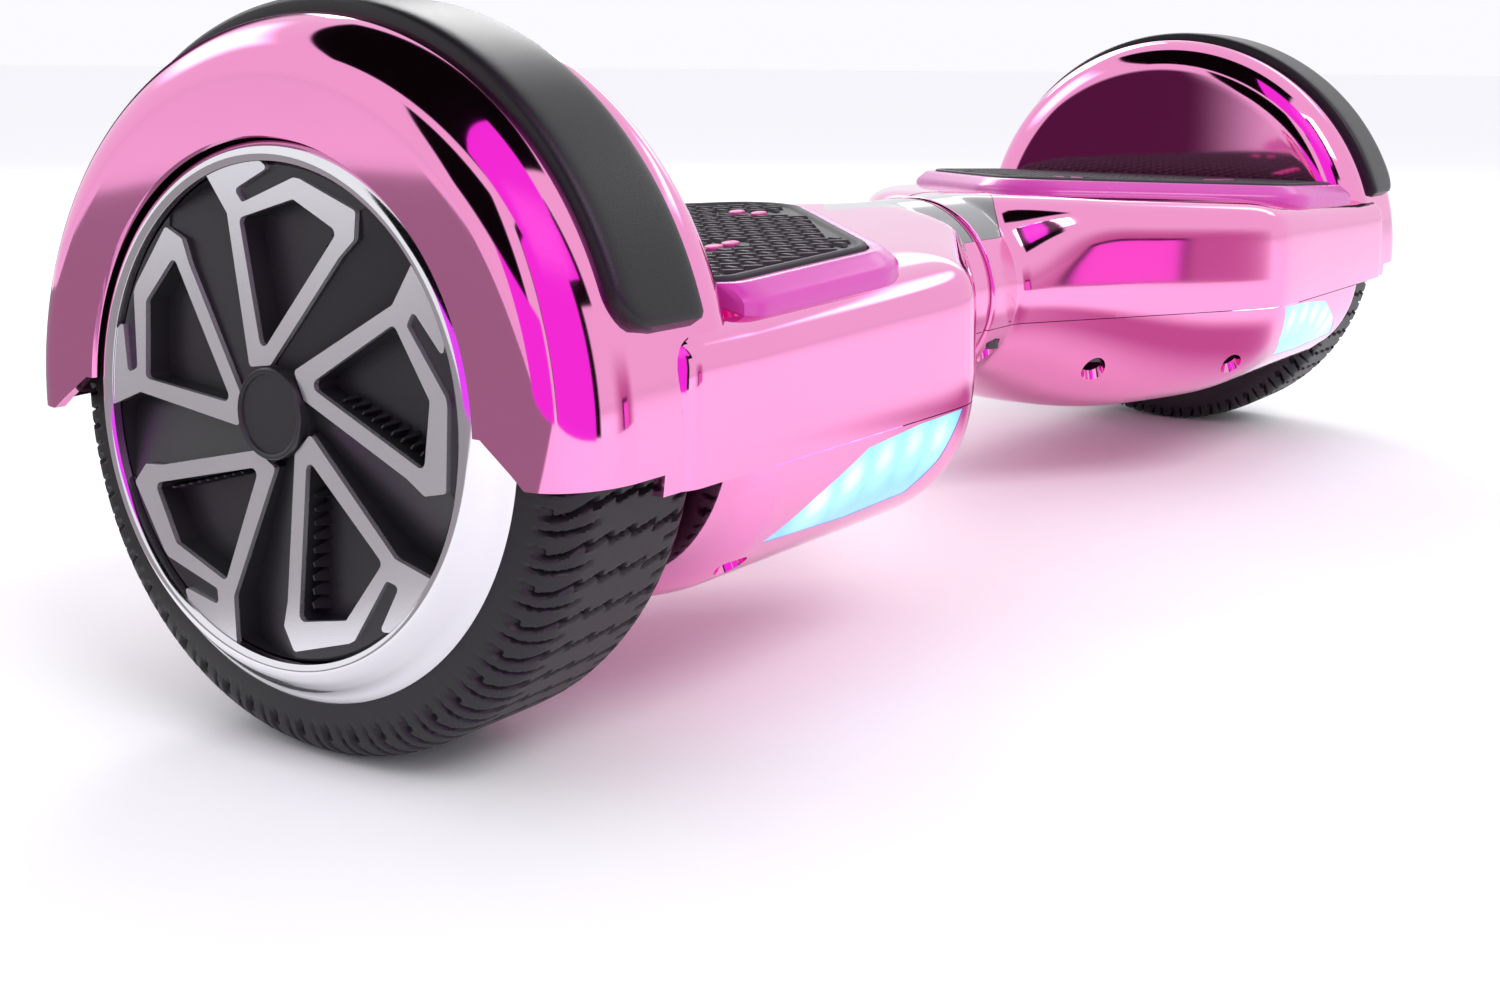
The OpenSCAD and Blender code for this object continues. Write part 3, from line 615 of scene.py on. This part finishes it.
tread_pitches, tread_steps = 54, 18
tyre_profile = np.array(finer(
    [(64.05, 235), (66, 235), (68.5, 235.2)] + arc((73.2, 244), (9.3, 9), 268, 350, 14)
    + [(82.5, 246), (82.5, 271)] + arc((73.5, 273.4), (9, 9), 4, 86, 16)
    + [(71, 282.7), (68.6, 282.8), (64.05, 282.8)], 0.85))
tread_middle, groove_depth = 258.9, 2.2
tyre_profile = tyre_profile[(tyre_profile[:, 0] > 64.06) | (np.abs(tyre_profile[:, 1] - tread_middle) > 23.7)]


def tread_depth(round_share, x, radius):
    """The cut at a share of one pitch round the tyre, for a point of its profile."""
    side = abs(x - tread_middle)                            # 0 at the tread's middle
    low = np.clip((77.6 - radius) / 4.5, 0, 1)              # 1 down on the side wall
    if radius < 73.2 or x < 236:
        return 0.0
    along = (x - 236) / 7.6 % 1                             # each stretch slants, then steps back
    wave = 0.2 * along - 0.1
    bend = 0.34 * max(0, side - 13) ** 1.4 / 10 ** 1.4 * (1 if x > tread_middle else -1)
    cut = 0.0
    for centre, width, reach in ((0.25 + wave + bend, 0.075, 30), (0.75 + bend * 0.9, 0.06, 0)):
        if reach == 0 and side < 12.5:
            continue
        if reach and along < 0.1:
            centre, width = 0.25 + bend, 0.15
        gap = abs((round_share - centre + 0.5) % 1 - 0.5)
        edge = np.clip((width - gap) / 0.05, 0, 1)
        ends = 1 if reach else np.clip((side - 12.5) / 1.5, 0, 1)
        cut = max(cut, edge * ends * (1 - low))
    return cut * groove_depth


shares = np.arange(tread_steps) / tread_steps
depths = np.array([[tread_depth(share, x, r) for r, x in tyre_profile] for share in shares])
normals = np.stack([np.gradient(tyre_profile[:, 1]), -np.gradient(tyre_profile[:, 0])], 1)
normals /= np.maximum(1e-9, np.hypot(*normals.T))[:, None]
rings = []
for step in range(tread_pitches * tread_steps):
    turn = 2 * math.pi * step / (tread_pitches * tread_steps)
    section = tyre_profile - normals * depths[step % tread_steps][:, None]
    rings.append(np.stack([section[:, 1], math.cos(turn) * section[:, 0],
                           wheel_radius + math.sin(turn) * section[:, 0]], 1))
tyre = loft("right_tyre_tread", rings, ring_closed=True)
tyre_rubber = finish("tyre_rubber", (0.012, 0.012, 0.013), 0.5, drift=0.25, grain=2200, relief=0.35,
                     Specular_IOR_Level=0.4)
on_both_sides(tyre, tyre_rubber, "wheel", "tyre_rubber", "tyre", sharp=50)


# ---- Wheel trims
# A turned chrome band closes the wheel's face round a dark cap. The cap has five pockets and five sloping
# vanes, and a raised silver frame runs round each pocket.

band = turned("right_wheel_band", finer([(57.3, 281.05), (67.2, 281.9), (67.9, 282.4), (68, 283.2), (67.2, 284),
                                         (66.4, 284.4), (65.4, 284.9), (64.2, 286.6), (61.5, 289.4), (60.2, 290.3),
                                         (59, 290.6), (58, 290.4), (57.3, 289.8)], 1.2), 300)
bright = finish("trim_chrome", (0.82, 0.82, 0.84), 0.1, drift=0.02, grain=1500, relief=0.02, Metallic=1.0)
on_both_sides(band, bright, "wheel", "trim_chrome", "chrome_ring", sharp=40)

first_petal, petals, pitch = 84, 5, 72
petal_edge = ([(-8.7, 9.0), (-19.2, 43), (-27, 50.6)] + arc((0, 0), (57.2, 57.2), 118, 99.2, 8)
              + [(-6.5, 55.3), (-17.2, 48.8), (-14.3, 46.2), (2, 54.3), (4, 54.3), (22.1, 49.9), (22.2, 43.5),
                 (18, 39), (-1.8, 10.8)])
petal_hole = [(-5.0, 12.9), (-15.1, 42.5), (2.3, 49.5), (17.0, 44.5)]


def around(k, points, x):
    """Points of petal k's own frame, laid on the wheel's face at distance x (a number, or one for each)."""
    angle = math.radians(first_petal - pitch * k)
    return [(at, -math.cos(angle) * b - math.sin(angle) * a,
             wheel_radius + math.sin(angle) * b - math.cos(angle) * a)
            for (a, b), at in zip(points, x if np.ndim(x) else [x] * len(points))]


def face_prism(k, outline, low, high):
    return loft("face_prism", [around(k, outline, low), around(k, outline, high)])


def rounded(outline, radius, points=5):
    """The outline with its corners rounded."""
    out = []
    size = len(outline)
    for i in range(size):
        a, b, c = (np.array(outline[(i + d) % size]) for d in (-1, 0, 1))
        u, v = (a - b) / np.linalg.norm(a - b), (c - b) / np.linalg.norm(c - b)
        angle = math.acos(np.clip(u @ v, -1, 1))
        reach = min(radius / math.tan(angle / 2), np.linalg.norm(a - b) * 0.45, np.linalg.norm(c - b) * 0.45)
        if angle > math.radians(168):
            out.append(tuple(b))
            continue
        r = reach * math.tan(angle / 2)
        middle = b + (u + v) / np.linalg.norm(u + v) * r / math.sin(angle / 2)
        start, end = b + u * reach - middle, b + v * reach - middle
        spread_turn = math.atan2(start[0] * end[1] - start[1] * end[0], start @ end)
        for k in np.linspace(0, 1, points):
            t = spread_turn * k
            out.append(tuple(middle + np.array([start[0] * math.cos(t) - start[1] * math.sin(t),
                                                start[0] * math.sin(t) + start[1] * math.cos(t)])))
    return out


cap = turned("right_hub_face", finer([(6, 281.1), (57, 281.1), (57, 287.5), (56.3, 288.2), (6, 288.2)], 4), 300)
next_turn = math.radians(-pitch)


def turned_plan(a, b):
    """A plan point of petal k's frame, turned on into the next petal's."""
    return (a * math.cos(next_turn) - b * math.sin(next_turn), a * math.sin(next_turn) + b * math.cos(next_turn))


# Each vane's floor is a plane through a petal's straight side, sinking towards the next petal
vane_inner, vane_outer, vane_top, vane_deep = (-1.8, 10.8), (22.1, 49.9), 287.7, 282.2
deep_corner = turned_plan(-25, 50.8)
plane = np.cross(np.subtract((*vane_outer, vane_top), (*vane_inner, vane_top)),
                 np.subtract((*deep_corner, vane_deep), (*vane_inner, vane_top)))


def vane_floor(point):
    return vane_top - (plane[0] * (point[0] - vane_inner[0]) + plane[1] * (point[1] - vane_inner[1])) / plane[2]


ring_start = math.degrees(math.atan2(49.9 + 6.2 * 0.853, 22.1 + 6.2 * 0.521)) - 1.2
vane_plan = ([vane_inner, vane_outer]
             + arc((0, 0), (56.9, 56.9), ring_start, 90 - 43.9, 10)
             + [deep_corner, turned_plan(-17, 43), turned_plan(-6.7, 9.5)])
for k in range(petals):
    vane = loft("vane", [around(k, vane_plan, [vane_floor(point) for point in vane_plan]),
                         around(k, vane_plan, 292)])
    keep = [face_prism(k, petal_edge, 270, 300), face_prism(k + 1, petal_edge, 270, 300)]
    carve(vane, *keep)
    carve(cap, vane, face_prism(k, rounded(petal_hole, 1.6), 282.6, 292))
rib_spots, rib_turns, rib_sizes = [], [], []
rib_start, rib_end, inward = np.array(petal_hole[0]), np.array(petal_hole[3]), np.array([-0.826, 0.563])
for k in range(petals):
    for share in np.linspace(0.24, 0.9, 9):
        reach = 1.2 + 3.2 * share
        spot = rib_start + (rib_end - rib_start) * share + inward * reach / 2 * 0.9
        rib_spots.append(around(k, [spot], 282.5)[0])
        rib_turns.append((math.radians(first_petal - pitch * k + 124), 0, 0))
        rib_sizes.append((1, reach / 4, 1))
slat = make("slat", [(x, y, z) for x, k in ((0, 1), (1, 0.35)) for y, z in ((-k / 2, -k / 2), (k / 2, -k / 2),
                                                                           (k / 2, k / 2), (-k / 2, k / 2))],
            [(0, 1, 2, 3), (4, 5, 6, 7), (0, 1, 5, 4), (1, 2, 6, 5), (2, 3, 7, 6), (3, 0, 4, 7)])
slat.data.transform(Matrix.Scale(1000, 4))
hub_black = finish("hubcap_plastic", (0.013, 0.013, 0.015), 0.4, drift=0.2, grain=2600, relief=0.25,
                   Coat_Weight=0.15, Coat_Roughness=0.25)
paint(cap, hub_black)
ribs = spread("ribs", rib_spots, rib_turns, slat, (4.6, 4.0, 1.3), hub_black, rib_sizes)
bpy.data.objects.remove(slat)
join(cap, ribs)
on_both_sides(cap, None, "wheel", "hubcap_plastic", "hubcap", sharp=30)

frames = []
for k in range(petals):
    frame_piece = face_prism(k, rounded(petal_edge, 1.0, 4), 288.05, 289.5)
    carve(frame_piece, face_prism(k, rounded(petal_hole, 1.5), 280, 295))
    frames.append(frame_piece)
silver_frames = frames[0]
join(silver_frames, *frames[1:])
edge = silver_frames.modifiers.new("eased edges", "BEVEL")
edge.width, edge.segments, edge.limit_method, edge.angle_limit = 0.0004, 1, "ANGLE", math.radians(40)
settle(silver_frames)
silver_frames.name = "right_petal_frames"
silver = finish("spoke_finish", (0.8, 0.8, 0.82), 0.24, drift=0.03, grain=2600, relief=0.05, Metallic=0.9)
on_both_sides(silver_frames, silver, "wheel", "spoke_finish", "spoke_trim", sharp=12)

centre = turned("right_centre_badge", finer([(0, 288.2), (10.5, 288.2), (10.5, 290.8), (10.2, 291.1), (9.6, 291.15),
                                             (9.2, 290.9), (9.1, 290.5), (0, 290.5)], 1.5), 96)
on_both_sides(centre, hub_black, "wheel", "hubcap_plastic", "centre_cap", sharp=40)


# ---- Working parts
# The cast frame, clamps, axles, motors and boards are mostly out of sight. Their shapes are the
# designed ones, and each takes its real finish.

alloy = finish("cast_alloy", (0.42, 0.43, 0.45), 0.5, drift=0.12, grain=700, relief=0.5, Metallic=0.9)
steel = finish("shaft_steel", (0.5, 0.5, 0.52), 0.28, drift=0.06, grain=1800, relief=0.1, Metallic=1.0)
bolt_black = finish("bolt_steel", (0.08, 0.08, 0.085), 0.38, drift=0.15, grain=2000, relief=0.15, Metallic=0.9)
bronze = finish("bush_bronze", (0.55, 0.33, 0.13), 0.35, drift=0.08, grain=1500, relief=0.1, Metallic=1.0)
board_green = finish("circuit_board", (0.02, 0.16, 0.06), 0.45, drift=0.3, grain=500, relief=0.3)
copper = finish("winding", (0.5, 0.2, 0.08), 0.4, drift=0.25, grain=900, relief=0.6, Metallic=0.7)
magnet = finish("magnet_steel", (0.3, 0.3, 0.31), 0.35, drift=0.1, grain=1200, relief=0.2, Metallic=1.0)
wrap_blue = finish("battery_wrap", (0.03, 0.09, 0.3), 0.3, drift=0.15, grain=400, relief=0.3, Coat_Weight=0.3)
key_plastic = finish("button_plastic", (0.55, 0.56, 0.58), 0.35, drift=0.05, grain=2400, relief=0.15)
dark_plastic = finish("black_plastic", (0.02, 0.02, 0.022), 0.45, drift=0.2, grain=2400, relief=0.3)
cable_black = finish("cable_black", (0.015, 0.015, 0.016), 0.5, drift=0.2, grain=2000, relief=0.2)
glowing = finish("led_light", (0.8, 0.95, 1.0), 0.3, grain=1500, relief=0.05, Emission_Strength=6.0)
glowing.node_tree.nodes["Principled BSDF"].inputs["Emission Color"].default_value = (0.75, 0.93, 1, 1)
for side in ("left_", "right_"):
    coat(alloy, side + "chassis", side + "axle_clamp", side + "motor_shell", side + "motor_cover")
    coat(steel, side + "axle", side + "wheel_bearings")
    coat(bolt_black, side + "clamp_bolts", side + "shell_screws")
    coat(board_green, side + "sensor_board")
    coat(glowing, side + "headlight_board")
    coat(copper, side + "stator")
    coat(magnet, side + "magnet_ring")
coat(steel, "pivot_shaft", "pivot_circlip")
coat(bronze, "pivot_bushes")
coat(board_green, "main_board")
coat(wrap_blue, "battery_pack")
coat(key_plastic, "power_button")
coat(dark_plastic, "button_switch", "charge_socket")
coat(cable_black, "link_cable")

# ---- Camera
# The view stands low in front of the left wheel.

view_turn, view_rise, view_roll = math.radians(-55.47), math.radians(4.92), math.radians(0.36)
back = Vector((math.sin(view_turn) * math.cos(view_rise), -math.cos(view_turn) * math.cos(view_rise),
               math.sin(view_rise)))
level_right = (-back).cross(Vector((0, 0, 1))).normalized()
level_up = level_right.cross(-back)
right = level_right * math.cos(view_roll) + level_up * math.sin(view_roll)
up = level_up * math.cos(view_roll) - level_right * math.sin(view_roll)
view = bpy.data.cameras.new("camera")
view.sensor_width, view.lens, view.shift_y, view.clip_start = 36, 44.68, -0.1852, 0.01
camera = bpy.data.objects.new("camera", view)
camera.matrix_world = Matrix.Translation((-0.5714, -0.3247, 0.1621)) @ Matrix(
    (right, up, back)).transposed().to_4x4()
bpy.context.collection.objects.link(camera)
bpy.context.scene.camera = camera
bpy.context.scene.view_settings.view_transform = "Standard"

# ---- Floor and lights
# A plain pale floor with two large soft lights. Cards that only reflections see give the plating its
# black, magenta and white bands.

floor_data = bpy.data.meshes.new("floor")
floor_data.from_pydata([(-40, -40, 0), (40, -40, 0), (40, 40, 0), (-40, 40, 0)], [], [(0, 1, 2, 3)])
floor = bpy.data.objects.new("floor", floor_data)
bpy.context.collection.objects.link(floor)
floor_data.materials.append(finish("floor_white", (0.94, 0.945, 0.96), 0.6, drift=0.01, relief=0))

world = bpy.data.worlds.new("pale")
world.use_nodes = True
world.node_tree.nodes["Background"].inputs["Color"].default_value = (0.97, 0.96, 1, 1)
world.node_tree.nodes["Background"].inputs["Strength"].default_value = 1.0
bpy.context.scene.world = world


def light(name, place, aim, size, power, colour=(1, 1, 1)):
    lamp = bpy.data.lights.new(name, "AREA")
    lamp.shape, lamp.size, lamp.size_y = "RECTANGLE", size[0], size[1]
    lamp.energy, lamp.color = power, colour
    holder = bpy.data.objects.new(name, lamp)
    holder.location = place
    holder.rotation_euler = (Vector(aim) - Vector(place)).to_track_quat("-Z", "Y").to_euler()
    bpy.context.collection.objects.link(holder)


light("key", (-0.6, -1.6, 1.7), (0, 0, 0.1), (1.4, 0.8), 22)
light("rim", (1.2, 1.2, 1.2), (0, 0, 0.1), (1.0, 0.6), 12)


def card(name, centre, across, high, glow, soft):
    """A stage card seen only in reflections. across and high are its half sides, soft its fading edge."""
    centre, across, high = Vector(centre), Vector(across), Vector(high)
    data = bpy.data.meshes.new(name)
    data.from_pydata([centre - across - high, centre + across - high, centre + across + high,
                      centre - across + high], [], [(0, 1, 2, 3)])
    corners = data.uv_layers.new(name="card")
    for corner, place in zip(corners.data, ((0, 0), (1, 0), (1, 1), (0, 1))):
        corner.uv = place
    sheet = bpy.data.objects.new(name, data)
    bpy.context.collection.objects.link(sheet)
    paper = bpy.data.materials.new(name)
    paper.use_nodes = True
    nodes = Nodes(paper.node_tree)
    paper.node_tree.nodes.remove(paper.node_tree.nodes["Principled BSDF"])
    lit = nodes.add("ShaderNodeEmission", None, {"Color": (*glow[:3], 1), "Strength": glow[3]})
    spot = nodes.add("ShaderNodeUVMap", {"uv_map": "card"})
    from_middle = [nodes.add("ShaderNodeSeparateXYZ", None, {0: spot}, axis) - 0.5 for axis in ("X", "Y")]
    shares = [nodes.add("ShaderNodeMapRange", {"interpolation_type": "SMOOTHSTEP"},
                        {0: side.maths("ABSOLUTE", side), 1: 0.5, 2: 0.5 - soft, 3: 0.0, 4: 1.0})
              for side in from_middle]
    clear = nodes.add("ShaderNodeBsdfTransparent")
    faded = nodes.add("ShaderNodeMixShader", None, {0: shares[0] * shares[1], 1: clear, 2: lit})
    paper.node_tree.links.new(faded.socket, paper.node_tree.nodes["Material Output"].inputs["Surface"])
    data.materials.append(paper)
    sheet.visible_camera = sheet.visible_diffuse = sheet.visible_shadow = False


white, black, magenta = (1, 1, 1), (0.003, 0.003, 0.003), (1.0, 0.07, 1.1)
card("front_magenta", (-0.68, -0.7, 0.25), (0.41, 0, 0), (0, 0, 0.31), (*magenta, 1), 0.03)
card("high_magenta", (-0.6, -0.703, 0.68), (0.49, 0, 0), (0, 0, 0.18), (*magenta, 1), 0.02)
card("upper_magenta", (-0.5, -0.47, 0.95), (0.4, 0, 0), (0, 0.235, 0.1), (*magenta, 1), 0.02)
card("left_magenta", (-1.2, -0.28, 0.15), (-0.1, 0.34, 0), (0, 0, 0.25), (*magenta, 1), 0.04)
card("front_black", (-0.7, -0.76, 0.2), (0.5, 0, 0), (0, 0, 0.3), (*black, 1), 0.03)
card("high_black", (-0.62, -0.763, 0.75), (0.58, 0, 0), (0, 0, 0.33), (*black, 1), 0.02)
card("overhead_black", (-0.35, 0.08, 1.06), (0.62, 0, 0), (0, 0.65, 0), (*black, 1), 0.03)
card("left_black", (-1.33, -0.05, 0.78), (0, 0.45, 0), (0, 0, 0.4), (*black, 1), 0.05)
card("dim_floor", (-0.76, 0.63, 0.004), (-0.44, 0.55, 0), (0.9, 0.72, 0), (0.36, 0.32, 0.35, 1), 0.02)
card("rear_dark", (-0.15, 0.25, 0.14), (0, 0.19, 0), (0, 0, 0.18), (0.09, 0.02, 0.07, 1), 0.2)
card("low_magenta", (0.131, -0.66, 0.045), (0.042, 0, 0), (0, 0, 0.04), (1.1, 0.2, 1.0, 1), 0.1)
card("low_line", (0.131, -0.68, 0.05), (0.052, 0, 0), (0, 0, 0.05), (0.02, 0.01, 0.02, 1), 0.12)
card("low_plum", (0.16, -0.7, 0.05), (0.22, 0, 0), (0, 0, 0.22), (0.6, 0.22, 0.45, 1), 0.4)
# Painted shade: this plum card on the floor under the body stands in for the shaded floor, tinted pink by bounce
# light, as the plating reflects it
card("floor_plum", (0.11, -0.15, 0.004), (0.14, 0, 0), (0, 0.1, 0), (0.6, 0.22, 0.45, 1), 0.4)
card("rear_white", (-0.25, 1.1, 0.8), (0.5, 0, 0), (0, -0.12, 0.3), (*white, 3), 0.3)
card("end_white", (1.5, 0.75, 0.68), (-0.3, 0.6, 0), (0, 0, 0.16), (*white, 2.6), 0.3)
card("edge_white", (1.1, -0.25, 0.85), (0.05, 0.4, 0), (-0.05, 0, 0.1), (*white, 3), 0.3)
